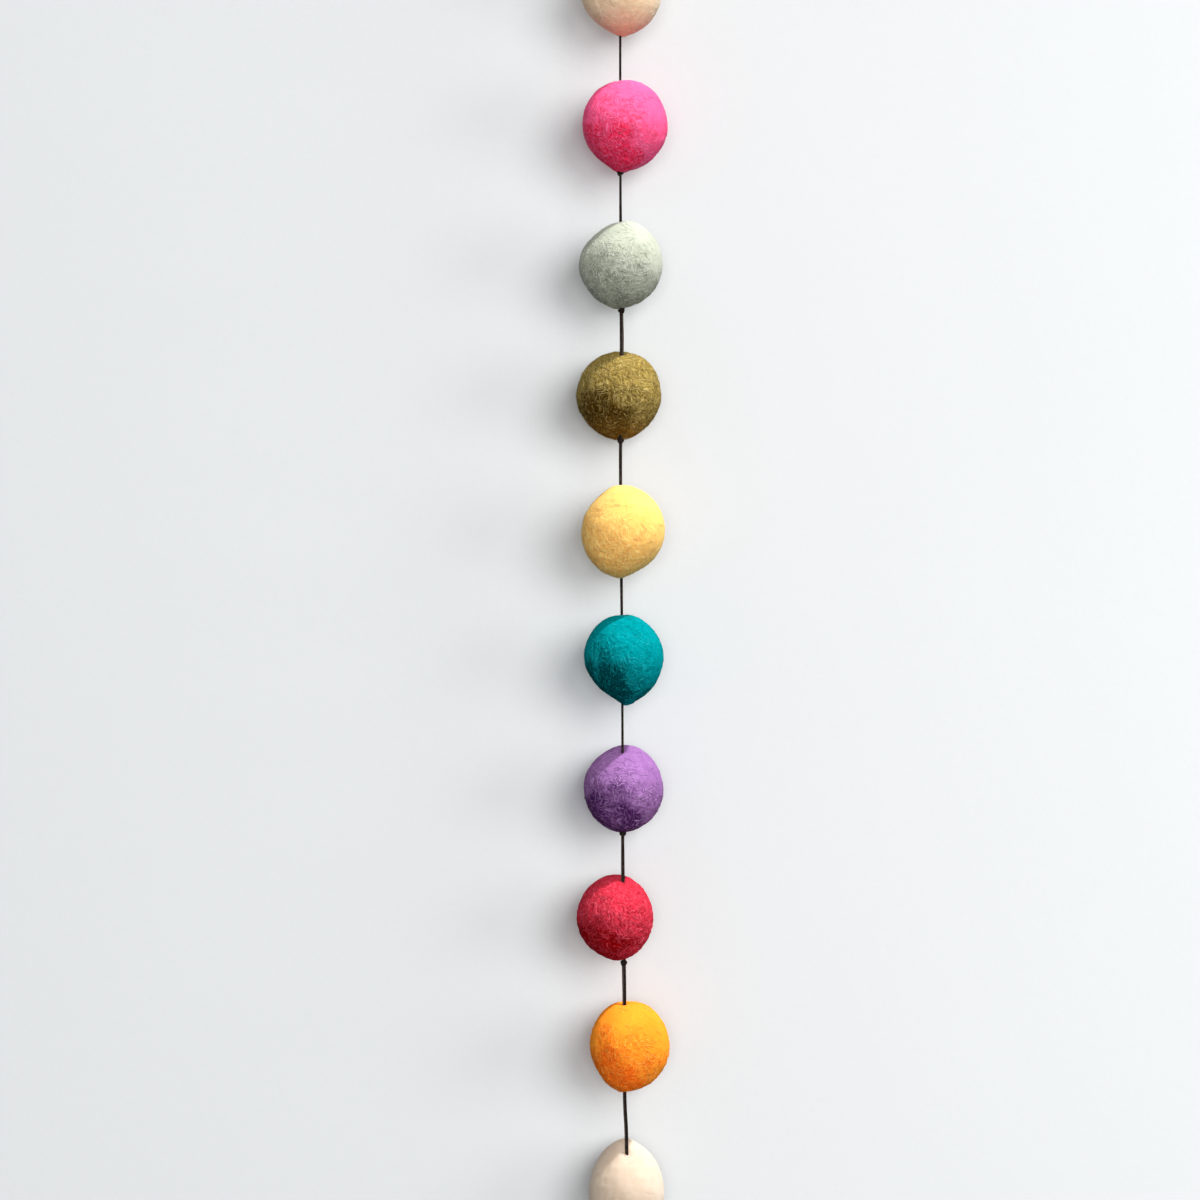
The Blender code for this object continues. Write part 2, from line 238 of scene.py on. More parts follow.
def felt_material(name, colour, kind, seed, tip=None, tip_height=0.0):
    """Wet-felted wool with crossing strokes all over it: painted shade in its creases, its grooves and on its shaded
    rough side, and painted highlights on its crests and thick fibres.
    """
    nodes = Nodes(name)
    place = nodes.add("ShaderNodeTexCoord").outputs["Object"]
    turn = 0.7 * seed
    wool = nodes.add("ShaderNodeAttribute", {"attribute_name": "wool"}).outputs["Fac"]
    rough = nodes.add("ShaderNodeAttribute", {"attribute_name": "rough"}).outputs["Fac"]
    curved = nodes.swirl(place, 230, 0.004)
    level = nodes.noise(place, 330, (turn, 0.4, 0.3), (1, 1, 1), 2.0)
    across = nodes.noise(curved, 2100, (0.2, 0.35, 0.3 + turn), (0.13, 1.0, 1.0), 1.5)
    along = nodes.noise(curved, 2100, (0.5, -0.25, turn), (1.0, 1.0, 0.13), 1.5)
    inward = nodes.noise(curved, 2100, (0.1, 0.3, 0.6), (1.0, 0.13, 1.0), 1.5)
    lay = nodes.blend(nodes.spread(level, 0.44, 0.5), across, along)
    lay = nodes.math("MAXIMUM", lay, nodes.math("SUBTRACT", inward, 0.06))
    strength = nodes.spread(rough, 0.0, 1.0, 0.06, 1.0)
    painted_crest_highlights = nodes.math("MULTIPLY", nodes.spread(lay, 0.52, 0.68), strength, True)
    painted_groove_shade = nodes.math("MULTIPLY", nodes.spread(lay, 0.3, 0.47, 1.0, 0.0), strength, True)
    fine = nodes.noise(place, 2400, (0.3, turn, 0.2), (1.0, 1.0, 2.0), 2.0)
    blotch = nodes.noise(place, 150, (0.1, turn, 0.7), (1, 1, 1), 2.0)
    light = in_the_light(colour)
    deep = in_the_shade(colour)
    body = nodes.blend(nodes.spread(blotch, 0.35, 0.68, 0.2, 0.0), (*colour, 1.0), deep)
    # Painted shade: the rough side faces the lower left, away from the key light, and is painted in the deeper colour
    start = kind.smooth + 0.7 * (kind.rough - kind.smooth)
    body = nodes.blend(nodes.spread(rough, start, kind.rough, 0.0, kind.deep), body, deep)
    # The tip's colour; on the top ball it is a painted reflection, the peach glow of the pink ball below
    if tip:
        height = nodes.add("ShaderNodeSeparateXYZ", None, {"Vector": curved}).outputs[2]
        body = nodes.blend(nodes.spread(height, tip_height, tip_height + 0.006, 0.85, 0.0), body, (*tip, 1.0))
    # Painted shade in the creases and in the grooves of the strokes, in the deeper colour
    body = nodes.blend(nodes.spread(wool, -1.0, 0.0, 0.3 + 0.35 * kind.deep, 0.0), body, shade(deep[:3], 0.7))
    body = nodes.blend(nodes.math("MULTIPLY", painted_groove_shade, 0.25 + 0.5 * kind.deep), body, shade(deep[:3], 0.7))
    # Painted highlight: the crests of the strokes and the thick loose fibres are painted paler, and less so on the
    # shaded rough side
    painted_highlight = nodes.blend(nodes.spread(rough, start, kind.rough, 0.0, kind.deep * 0.6), light, (*colour, 1.0))
    body = nodes.blend(nodes.math("MULTIPLY", painted_crest_highlights, min(0.3 * kind.relief, 0.6)), body, painted_highlight)
    body = nodes.blend(nodes.spread(wool, 1.0, 2.0, 0.0, 0.8), body, painted_highlight)
    height = nodes.math("ADD", nodes.math("MULTIPLY", lay, strength), nodes.math("MULTIPLY", fine, 0.12))
    bump = nodes.add("ShaderNodeBump", None, {"Height": height, "Strength": 0.9, "Distance": 0.0005 * kind.relief})
    nodes.feed(nodes.shader.inputs["Base Color"], body)
    nodes.feed(nodes.shader.inputs["Normal"], bump.outputs[0])
    nodes.shader.inputs["Roughness"].default_value = 0.95
    nodes.shader.inputs["Specular IOR Level"].default_value = 0.0
    nodes.shader.inputs["Subsurface Weight"].default_value = kind.soak
    nodes.shader.inputs["Subsurface Radius"].default_value = (1.0, 0.9, 0.8)
    nodes.shader.inputs["Subsurface Scale"].default_value = 0.008
    nodes.shader.inputs["Sheen Weight"].default_value = 0.06
    nodes.shader.inputs["Sheen Roughness"].default_value = 0.4
    nodes.shader.inputs["Sheen Tint"].default_value = light
    return nodes.material


def thread_material(name, dark, highlight_and_haze):
    """Waxed dark thread of three plies, with painted highlights as pale specks on the ply crests, painted shade
    between the plies and a grey haze on one strand.
    """
    nodes = Nodes(name)
    place = nodes.add("ShaderNodeTexCoord").outputs["Object"]
    ply = nodes.add("ShaderNodeAttribute", {"attribute_name": "ply"}).outputs["Fac"]
    worn = nodes.add("ShaderNodeAttribute", {"attribute_name": "worn"}).outputs["Fac"]
    fibre = nodes.noise(place, 5000, (0.5, 0.2, 0.0), (2.0, 2.0, 0.6), 2.0)
    patch = nodes.noise(place, 900, (0, 0, 0), (1, 1, 1), 1.0)
    # Painted highlights: pale glints on the crests of the plies, in patches
    painted_crest_glints = nodes.math("MULTIPLY", nodes.spread(ply, 0.8, 1.0), nodes.spread(patch, 0.48, 0.6), True)
    body = nodes.blend(nodes.spread(fibre, 0.3, 0.7), shade(dark, 0.5), (*dark, 1.0))
    # Painted shade between the plies
    body = nodes.blend(nodes.spread(ply, 0.0, 0.5, 0.6, 0.0), body, shade(dark, 0.25))
    body = nodes.blend(nodes.math("MULTIPLY", painted_crest_glints, 0.25), body, (*highlight_and_haze, 1.0))
    # A grey haze on one strand, strongest where the fibre noise is high
    haze = nodes.math("MULTIPLY", worn, nodes.spread(fibre, 0.25, 0.6, 0.01, 0.17), True)
    body = nodes.blend(haze, body, (*highlight_and_haze, 1.0))
    height = nodes.math("ADD", nodes.math("MULTIPLY", fibre, 0.4), nodes.math("MULTIPLY", ply, 0.6))
    bump = nodes.add("ShaderNodeBump", None, {"Height": height, "Strength": 0.5, "Distance": 0.00008})
    nodes.feed(nodes.shader.inputs["Base Color"], body)
    nodes.feed(nodes.shader.inputs["Normal"], bump.outputs[0])
    nodes.shader.inputs["Roughness"].default_value = 0.6
    nodes.shader.inputs["Specular IOR Level"].default_value = 0.05
    return nodes.material


def wall_material(name, colour):
    """Smooth painted wall with a faint grain. From behind it is see-through, so the garland shows from there."""
    nodes = Nodes(name)
    place = nodes.add("ShaderNodeTexCoord").outputs["Object"]
    cloud = nodes.noise(place, 9, (0, 0, 0), (1, 1, 1), 3.0)
    grain = nodes.noise(place, 700, (0, 0, 0), (1, 1, 1), 3.0)
    weave = nodes.noise(place, 180, (0.3, 0.3, 0.8), (1, 1, 2.2), 2.0)
    body = nodes.blend(nodes.spread(cloud, 0.3, 0.7), shade(colour, 0.985), (*colour, 1.0))
    body = nodes.blend(nodes.spread(grain, 0.3, 0.7, 0.0, 0.6), body, shade(colour, 0.975))
    height = nodes.math("ADD", nodes.math("MULTIPLY", grain, 0.5), nodes.math("MULTIPLY", weave, 0.5))
    bump = nodes.add("ShaderNodeBump", None, {"Height": height, "Strength": 0.25, "Distance": 0.0003})
    nodes.feed(nodes.shader.inputs["Base Color"], body)
    nodes.feed(nodes.shader.inputs["Normal"], bump.outputs[0])
    nodes.shader.inputs["Roughness"].default_value = 0.9
    nodes.shader.inputs["Specular IOR Level"].default_value = 0.1
    behind = nodes.add("ShaderNodeNewGeometry").outputs["Backfacing"]
    clear = nodes.add("ShaderNodeBsdfTransparent").outputs[0]
    both = nodes.add("ShaderNodeMixShader", None, {0: behind, 1: nodes.shader.outputs[0], 2: clear}).outputs[0]
    nodes.feed(nodes.tree.nodes["Material Output"].inputs["Surface"], both)
    return nodes.material


def floor_material(name, colour):
    """Plain pale floor with a faint grain."""
    nodes = Nodes(name)
    place = nodes.add("ShaderNodeTexCoord").outputs["Object"]
    grain = nodes.noise(place, 60, (0, 0, 0), (1, 1, 1), 4.0)
    body = nodes.blend(nodes.spread(grain, 0.3, 0.7), shade(colour, 0.97), (*colour, 1.0))
    nodes.feed(nodes.shader.inputs["Base Color"], body)
    nodes.shader.inputs["Roughness"].default_value = 0.9
    return nodes.material


def pair_side(drop):
    """How far the middle of the strand pair stands to the side at this drop, in mm."""
    for above, below in zip(ROUTE, ROUTE[1:]):
        if drop <= below[0]:
            break
    share = min(max((drop - above[0]) / (below[0] - above[0]), 0), 1)
    return above[1] + (below[1] - above[1]) * share


def closed_form(node):
    """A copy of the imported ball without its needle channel, closed over the thread's two holes."""
    source = bpy.data.objects[node]
    form = bpy.data.objects.new(node + "_form", source.data.copy())
    bpy.context.scene.collection.objects.link(form)
    make_active(form)
    bpy.ops.object.mode_set(mode="EDIT")
    bpy.ops.mesh.select_all(action="SELECT")
    bpy.ops.mesh.remove_doubles(threshold=0.000002)
    bpy.ops.mesh.select_all(action="DESELECT")
    bpy.ops.object.mode_set(mode="OBJECT")
    for face in form.data.polygons:
        middle = face.center
        off = math.hypot(middle.x - pair_side(-middle.z / MM) * MM, middle.y)
        face.select = off < 1.4 * MM and abs(face.normal.z) < 0.6
    bpy.ops.object.mode_set(mode="EDIT")
    bpy.ops.mesh.delete(type="FACE")
    bpy.ops.mesh.select_all(action="SELECT")
    bpy.ops.mesh.fill_holes(sides=0)
    bpy.ops.mesh.select_all(action="SELECT")
    bpy.ops.mesh.tris_convert_to_quads()
    bpy.ops.object.mode_set(mode="OBJECT")
    return form


def rolled_ball(node):
    """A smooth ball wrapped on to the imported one: even quads all over, with no pole."""
    form = closed_form(node)
    low, high = (Vector(corner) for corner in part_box(node))
    middle = (low + high) / 2
    deselect_all()
    bpy.ops.mesh.primitive_cube_add(size=0.024, location=middle)
    felt = bpy.context.object
    felt.name = node + "_felt"
    felt.data.name = felt.name
    bpy.ops.object.mode_set(mode="EDIT")
    bpy.ops.mesh.subdivide(number_cuts=31)
    bpy.ops.object.mode_set(mode="OBJECT")
    rounder = felt.modifiers.new("round", "CAST")
    rounder.factor = 1.0
    rounder.use_radius_as_size = False
    rounder.size = 0.016
    wrap = felt.modifiers.new("wrap", "SHRINKWRAP")
    wrap.target = form
    wrap.wrap_method = "PROJECT"
    wrap.use_negative_direction = True
    wrap.use_positive_direction = False
    soft = felt.modifiers.new("soft", "SMOOTH")
    soft.factor = 0.5
    soft.iterations = 5
    finer = felt.modifiers.new("finer", "SUBSURF")
    finer.levels = 1
    finer.render_levels = 1
    apply_all(felt)
    set_place(felt)
    bpy.data.objects.remove(form)
    return felt, middle


def stroke(point, turn, squeeze, width):
    """1 on the crest of a long thin wrinkle and 0 away from it. The point is in mm, bent by the lay of the wool."""
    turned = turn @ point
    value = noise.noise(Vector((turned.x * 0.38, turned.y * 0.38, turned.z * squeeze)))
    return max(0.0, 1 - abs(value) / width)


def work_felt(felt, middle, kind, index, depth):
    """Give the rolled ball its lumps, its crossing wrinkles and the dimples where the thread goes in."""
    mesh = felt.data
    # The wool attribute marks crests and creases, the next one the rough side, which is also the shaded side; the
    # felt material paints shade and highlights by them
    wool = mesh.attributes.new("wool", "FLOAT", "POINT")
    rough = mesh.attributes.new("rough", "FLOAT", "POINT")
    rough_side = Vector(kind.rough_side).normalized()
    shift = Vector((13.7 * index, 5.1 * index, 9.3 * index))
    turns = [Matrix.Rotation(angle + 0.4 * index, 3, axis) for angle, axis in ((0.3, "Y"), (1.2, "Y"), (-0.7, "X"))]
    normals = [vertex.normal.copy() for vertex in mesh.vertices]
    top = max(vertex.co.z for vertex in mesh.vertices)
    lowest = min(mesh.vertices, key=lambda vertex: vertex.co.z).co.copy()
    heights = []
    wools = []
    rough_and_shaded_shares = []
    for vertex in mesh.vertices:
        point = (vertex.co - middle) / MM
        away = point.normalized()
        seeded = point + shift
        bent = seeded + 2.0 * noise.noise_vector(seeded * 0.17)
        facing = (away.dot(rough_side) + 0.1 + 0.4 * noise.noise(seeded * 0.2)) / 0.9
        share = kind.smooth + (kind.rough - kind.smooth) * min(max(facing, 0.0), 1.0)
        broken = min(max(0.35 + 1.6 * noise.noise(seeded * 0.55 + shift), 0.0), 1.0)
        crest = stroke(bent, turns[0], 1.5, 0.2) * broken
        crest = max(crest, 0.8 * stroke(bent + shift, turns[1], 1.4, 0.18) * (1 - 0.6 * broken))
        crest = max(crest, 0.7 * stroke(bent - shift, turns[2], 1.3, 0.18))
        grain = noise.noise(bent * 1.1)
        height = 0.2 * noise.noise(seeded * 0.14) + 0.1 * noise.noise(bent * 0.4) * (0.4 + share)
        height += share * depth * (crest + 0.45 * grain - 0.35)
        off = math.hypot(vertex.co.x / MM - pair_side(-vertex.co.z / MM), vertex.co.y / MM)
        if vertex.co.z > middle.z and vertex.co.z > top - 6 * MM:
            height -= kind.dimple * math.exp(-(off / 1.5) ** 2)
        if vertex.co.z < middle.z:
            near = math.hypot(vertex.co.x - lowest.x, vertex.co.y - lowest.y) / MM
            height += kind.drawn * math.exp(-(near / 2.0) ** 2)
        heights.append(height)
        wools.append(share * (1.3 * crest + 0.8 * grain - 0.6))
        rough_and_shaded_shares.append(share)
    for vertex, normal, height in zip(mesh.vertices, normals, heights):
        vertex.co += normal * height * MM
    wool.data.foreach_set("value", wools)
    rough.data.foreach_set("value", rough_and_shaded_shares)
    mesh.update()


def fibre_rings(path, outs, radius, flat):
    """A three-sided hair along this path: its points ring by ring, drawn out at both ends."""
    points = []
    last = len(path) - 1
    for i, (spot, out) in enumerate(zip(path, outs)):
        along = (path[min(i + 1, last)] - path[max(i - 1, 0)]).normalized()
        across = along.cross(out).normalized()
        girth = radius * (0.35 if i in (0, last) else 1.0)
        for k in range(3):
            angle = 2 * math.pi * k / 3 + math.pi / 2
            points.append(spot + (across * math.cos(angle) + out * math.sin(angle) * flat) * girth)
    return points


def loose_fibres(felt, middle, kind, index, count):
    """Hairs of wool that lie on the felt or stand a little off it."""
    chance = random.Random(100 + index)
    tree = BVHTree.FromPolygons([v.co for v in felt.data.vertices], [p.vertices for p in felt.data.polygons])
    rough_side = Vector(kind.rough_side).normalized()
    points = []
    faces = []
    tones = []
    places = []
    made = 0
    while made < count:
        away = Vector([chance.gauss(0, 1) for _ in range(3)]).normalized()
        facing = min(max((away.dot(rough_side) + 0.55) / 0.9, 0), 1)
        patch = 0.5 + 1.3 * noise.noise(away * 2.6 + Vector((index, 0, 0)))
        if chance.random() > (kind.smooth * 0.6 + 0.08 + facing) * patch:
            continue
        made += 1
        standing = chance.random() < 0.3
        lay = Vector((0.15, 0.1, 1.0)) + 1.3 * noise.noise_vector(away * 1.8 + Vector((0, index, 0)))
        heading = Matrix.Rotation(chance.gauss(0, 0.45), 3, away) @ away.cross(lay).normalized()
        thick = not standing and chance.random() < 0.28
        length = chance.uniform(0.7, 1.6) if standing else chance.uniform(1.2, 4.0 if thick else 3.0)
        curl = chance.gauss(0, 0.28)
        radius = chance.uniform(0.012, 0.02) if standing else chance.uniform(0.025, 0.045)
        radius = (chance.uniform(0.06, 0.1) if thick else radius) * MM
        lift = chance.uniform(0.15, 0.5) if standing else chance.uniform(0.02, 0.12)
        # Above 1 the material paints a fibre paler, a painted highlight; thick fibres get it most
        tones.append(chance.uniform(1.4, 2.0) if thick else chance.uniform(0.3, 1.4))
        path = []
        outs = []
        direction = away.copy()
        for step in range(5):
            hit = tree.ray_cast(middle + direction * 0.03, -direction)[0]
            if hit is None:
                break
            rise = lift * step / 4 if standing else lift * math.sin(math.pi * step / 4)
            sunk = -0.03 if step in (0, 4) and not standing else 0.0
            sunk = -0.05 if standing and step == 0 else sunk
            path.append(hit + direction * (rise + sunk) * MM)
            outs.append(direction.copy())
            heading = (heading - direction * heading.dot(direction)).normalized()
            direction = (direction + heading * (length / 4 / 11)).normalized()
            heading = Matrix.Rotation(curl, 3, direction) @ heading
        if len(path) < 5:
            tones.pop()
            continue
        # The fibre takes the painted shade of the rough, shaded side where it lies
        places.append(kind.smooth + (kind.rough - kind.smooth) * min(max((away.dot(rough_side) + 0.1) / 0.9, 0), 1))
        start = len(points)
        points += fibre_rings(path, outs, radius, 0.5 if thick else 1.0)
        for ring in range(4):
            for k in range(3):
                a = start + 3 * ring + k
                b = start + 3 * ring + (k + 1) % 3
                faces.append((a, b, b + 3, a + 3))
        faces.append((start + 2, start + 1, start))
        faces.append((start + 12, start + 13, start + 14))
    hairs = add_mesh(felt.name + "_hairs", points, faces)
    wool = hairs.data.attributes.new("wool", "FLOAT", "POINT")
    wool.data.foreach_set("value", [tones[i // 15] for i in range(len(points))])
    rough = hairs.data.attributes.new("rough", "FLOAT", "POINT")
    rough.data.foreach_set("value", [places[i // 15] for i in range(len(points))])
    return hairs


def catmull(points, spacing):
    """Points at an even spacing on a smooth curve through these points."""
    ends = [2 * points[0] - points[1]] + points + [2 * points[-1] - points[-2]]
    fine = []
    for before, start, end, after in zip(ends, ends[1:], ends[2:], ends[3:]):
        pieces = max(2, int((end - start).length / spacing * 2))
        for i in range(pieces):
            t = i / pieces
            fine.append(0.5 * (2 * start + (end - before) * t + (2 * before - 5 * start + 4 * end - after) * t ** 2
                               + (3 * start - before - 3 * end + after) * t ** 3))
    fine.append(points[-1])
    even = [fine[0]]
    left = spacing
    for start, end in zip(fine, fine[1:]):
        step = (end - start).length
        while step >= left:
            start = start.lerp(end, left / step)
            even.append(start)
            step = (end - start).length
            left = spacing
        left -= step
    if (fine[-1] - even[-1]).length > spacing * 0.3:
        even.append(fine[-1])
    return even


def thread_points(pitch):
    """The points that the whole thread follows: a tail, up one strand, round the loop, down the other, a tail."""
    strands = []
    for hand in (1, -1):
        strand = []
        for drop, side, turn in ROUTE:
            along = hand * pitch / 2 * math.cos(math.radians(turn))
            away = hand * pitch / 2 * math.sin(math.radians(turn))
            strand.append(Vector((side + along, away, -drop)) * MM)
        side, back, height = strand[-1] / MM
        for share in TAIL_SHARES:
            spread = hand * TAIL_SPREAD * share ** 1.5
            strand.append(Vector((side + spread, back + TAIL_TURN * spread, height - TAIL_LENGTH * share)) * MM)
        strands.append(strand)
    rising = [Vector((half, 0.0, -drop)) * MM for drop, half in LOOP]
    falling = [Vector((-half, 0.0, -drop)) * MM for drop, half in reversed(LOOP[:-1])]
    return strands[0][::-1] + rising + falling + strands[1]


def plied_tube(name, path, diameter, lay_length, sides=12):
    """A thread of three plies: a lobed outline that turns once in every lay length."""
    points = []
    plies = []
    across = Vector((1, 0, 0))
    turn = 0.0
    last = len(path) - 1
    for i, spot in enumerate(path):
        along = (path[min(i + 1, last)] - path[max(i - 1, 0)]).normalized()
        across = (across - along * across.dot(along)).normalized()
        other = along.cross(across)
        if i:
            turn += 2 * math.pi * (spot - path[i - 1]).length / lay_length
        for k in range(sides):
            angle = 2 * math.pi * k / sides
            lobe = abs(math.cos(1.5 * angle))
            radius = diameter / 2 * (0.84 + 0.16 * lobe)
            points.append(spot + (across * math.cos(angle + turn) + other * math.sin(angle + turn)) * radius)
            plies.append(lobe)
    faces = []
    for ring in range(last):
        for k in range(sides):
            a = ring * sides + k
            b = ring * sides + (k + 1) % sides
            faces.append((a, b, b + sides, a + sides))
    faces.append(tuple(reversed(range(sides))))
    faces.append(tuple(range(last * sides, (last + 1) * sides)))
    tube = add_mesh(name, points, faces)
    ply = tube.data.attributes.new("ply", "FLOAT", "POINT")
    ply.data.foreach_set("value", plies)
    tube.data.shade_smooth()
    return tube


class FeltSettings(bpy.types.PropertyGroup):
    """Colours of the balls and the depth of their wrinkles."""

    cream_first: FloatVectorProperty(
        name="First cream", description="Colour of the top ball", subtype="COLOR", default=(0.84, 0.64, 0.44))
    pink: FloatVectorProperty(
        name="Pink", description="Colour of the pink ball", subtype="COLOR", default=(0.97, 0.11, 0.28))
    grey: FloatVectorProperty(
        name="Grey", description="Colour of the sage grey ball", subtype="COLOR", default=(0.43, 0.455, 0.368))
    olive: FloatVectorProperty(
        name="Olive", description="Colour of the olive ball", subtype="COLOR", default=(0.32, 0.225, 0.056))
    yellow: FloatVectorProperty(
        name="Yellow", description="Colour of the yellow ball", subtype="COLOR", default=(0.88, 0.53, 0.150))
    teal: FloatVectorProperty(
        name="Teal", description="Colour of the teal ball", subtype="COLOR", default=(0.0, 0.235, 0.258))
    purple: FloatVectorProperty(
        name="Purple", description="Colour of the purple ball", subtype="COLOR", default=(0.30, 0.137, 0.35))
    crimson: FloatVectorProperty(
        name="Crimson", description="Colour of the crimson ball", subtype="COLOR", default=(0.56, 0.028, 0.054))
    orange: FloatVectorProperty(
        name="Orange", description="Colour of the orange ball", subtype="COLOR", default=(0.95, 0.285, 0.02))
    cream_last: FloatVectorProperty(
        name="Last cream", description="Colour of the bottom ball", subtype="COLOR", default=(0.57, 0.465, 0.365))
    # Painted reflection: the peach glow of the pink ball below, painted on the top ball's tip
    peach: FloatVectorProperty(
        name="Peach", description="Colour at the tip of the top ball", subtype="COLOR", default=(0.85, 0.42, 0.27))
    amber: FloatVectorProperty(
        name="Amber", description="Colour at the tip of the olive ball", subtype="COLOR", default=(0.32, 0.14, 0.012))
    depth: FloatProperty(
        name="Wrinkle depth", description="Height of the wrinkles in mm", default=0.17, min=0.0, max=0.6)
    hairs: FloatProperty(
        name="Loose fibres", description="Share of the loose fibres that are made", default=1.0, min=0.0, max=1.5)


class ThreadSettings(bpy.types.PropertyGroup):
    """Sizes and colours of the doubled thread."""

    diameter: FloatProperty(
        name="Thickness", description="Thickness of one strand", subtype="DISTANCE", unit="LENGTH", default=0.00068)
    pitch: FloatProperty(
        name="Strand pitch", description="Distance between the strands' middles, in mm", default=0.72)
    lay_length: FloatProperty(
        name="Lay length", description="Length of one full turn of the plies", subtype="DISTANCE", unit="LENGTH",
        default=0.0024)
    dark: FloatVectorProperty(
        name="Thread", description="Colour of the thread", subtype="COLOR", default=(0.016, 0.009, 0.006))
    # Colour of the painted highlights on the ply crests and of the grey haze on one strand
    highlight_and_haze: FloatVectorProperty(
        name="Lint", description="Colour of its specks and lint", subtype="COLOR", default=(0.42, 0.33, 0.27))


class StageSettings(bpy.types.PropertyGroup):
    """The wall, the floor, the camera and the light."""

    wall: FloatVectorProperty(
        name="Wall", description="Colour of the wall", subtype="COLOR", default=(0.50, 0.511, 0.514))
    wall_back: FloatProperty(
        name="Wall place", description="How far the wall stands behind the thread", unit="LENGTH", default=0.0162)
    wall_power: FloatProperty(
        name="Wall light", description="Power of the soft light on the wall, in watts", default=64.5)
    side_power: FloatProperty(
        name="Side light", description="Power of the soft light along the wall from its right, in watts", default=8.5)
    key: FloatProperty(
        name="Key light", description="Strength of the clear light on the garland", default=4.3)
    soft: FloatProperty(
        name="Soft light", description="Strength of the soft light on the garland's right", default=0.95)
    front: FloatProperty(
        name="Front light", description="Strength of the soft light on the garland's front", default=2.6)
    fill: FloatProperty(
        name="Fill", description="Strength of the light from all sides", default=0.3)


class GARLAND_OT_stage(bpy.types.Operator):
    """Add the wall, the floor, the camera and the lights"""

    bl_idname = "garland.stage"
    bl_label = "Stage"

    def execute(self, context):
        settings = context.scene.garland_stage
        deselect_all()
        bpy.ops.mesh.primitive_plane_add(size=5.0, location=(0.0, settings.wall_back, 0.0), rotation=(math.pi / 2, 0, 0))
        wall = context.object
        wall.name = "wall"
        set_place(wall)
        wall.data.materials.append(wall_material("painted_wall", settings.wall))
        deselect_all()
        bpy.ops.mesh.primitive_plane_add(size=5.0, location=(0.0, 0.0, -0.46))
        floor = context.object
        floor.name = "floor"
        set_place(floor)
        floor.data.materials.append(floor_material("pale_floor", settings.wall))
        for thing in (wall, floor):
            thing.visible_diffuse = False
        wall.visible_shadow = False
        self.add_camera(context)
        self.add_lights(context, settings, (wall, floor))
        self.add_room(context, settings)
        return {"FINISHED"}

    def add_camera(self, context):
        """The photograph's own view: level and square on."""
        deselect_all()
        bpy.ops.object.camera_add(location=(-0.005565, -0.9, -0.2091), rotation=(math.pi / 2, 0, 0))
        camera = context.object
        camera.name = "camera"
        camera.data.sensor_width = 36.0
        camera.data.lens = 101.9
        context.scene.camera = camera

    def add_lamp(self, context, name, kind, turn, rise, far):
        """A light that looks at the garland's middle from this turn to the right and this rise, in degrees."""
        aim = Vector((0.0, 0.0, -0.21))
        turn, rise = math.radians(turn), math.radians(rise)
        back = Vector((math.sin(turn) * math.cos(rise), -math.cos(turn) * math.cos(rise), math.sin(rise)))
        deselect_all()
        bpy.ops.object.light_add(type=kind, location=aim + back * far)
        lamp = context.object
        lamp.name = name
        lamp.rotation_mode = "QUATERNION"
        lamp.rotation_quaternion = back.to_track_quat("Z", "Y")
        return lamp

    def add_lights(self, context, settings, stage):
        """A soft light for the wall, and a clear and a soft one, higher up, for the garland."""
        lit = bpy.data.collections.new("lit_by_the_wall_light")
        unlit = bpy.data.collections.new("left_out_of_the_garland_lights")
        for thing in stage:
            lit.objects.link(thing)
            unlit.objects.link(thing)
        for member in unlit.collection_objects:
            member.light_linking.link_state = "EXCLUDE"
        wall_lamps = (
            ("wall_light", 28, 15, 2.6, 1.6, settings.wall_power),
            ("wall_side_light", 72, 0, 1.0, 0.7, settings.side_power),
            ("wall_front_light", 0, 0, 2.6, 1.2, settings.wall_power / 1.5),
        )
        for name, turn, rise, far, size, power in wall_lamps:
            lamp = self.add_lamp(context, name, "AREA", turn, rise, far)
            lamp.data.shape = "DISK"
            lamp.data.size = size
            lamp.data.energy = power
            lamp.light_linking.receiver_collection = lit
        suns = (
            ("key_light", 69, 65, 1.8, settings.key), ("soft_light", 60, 30, 30, settings.soft),
            ("front_light", 6, 19, 45, settings.front), ("back_light", 180, 0, 20, 1.2),
        )
        for name, turn, rise, spread, strength in suns:
            lamp = self.add_lamp(context, name, "SUN", turn, rise, 1.5)
            lamp.data.angle = math.radians(spread)
            lamp.data.energy = strength
            lamp.light_linking.receiver_collection = unlit

    def add_room(self, context, settings):
        """A pale room that gives a little light from all round."""
        world = bpy.data.worlds.new("room")
        world.use_nodes = True
        tree = world.node_tree
        background = tree.nodes["Background"]
        background.inputs["Color"].default_value = (0.93, 0.96, 1.0, 1.0)
        seen = tree.nodes.new("ShaderNodeLightPath").outputs["Is Camera Ray"]
        strength = tree.nodes.new("ShaderNodeMapRange")
        tree.links.new(seen, strength.inputs["Value"])
        strength.inputs["To Min"].default_value = settings.fill
        strength.inputs["To Max"].default_value = 0.85
        tree.links.new(strength.outputs[0], background.inputs["Strength"])
        context.scene.world = world
        context.scene.view_settings.view_transform = "Standard"


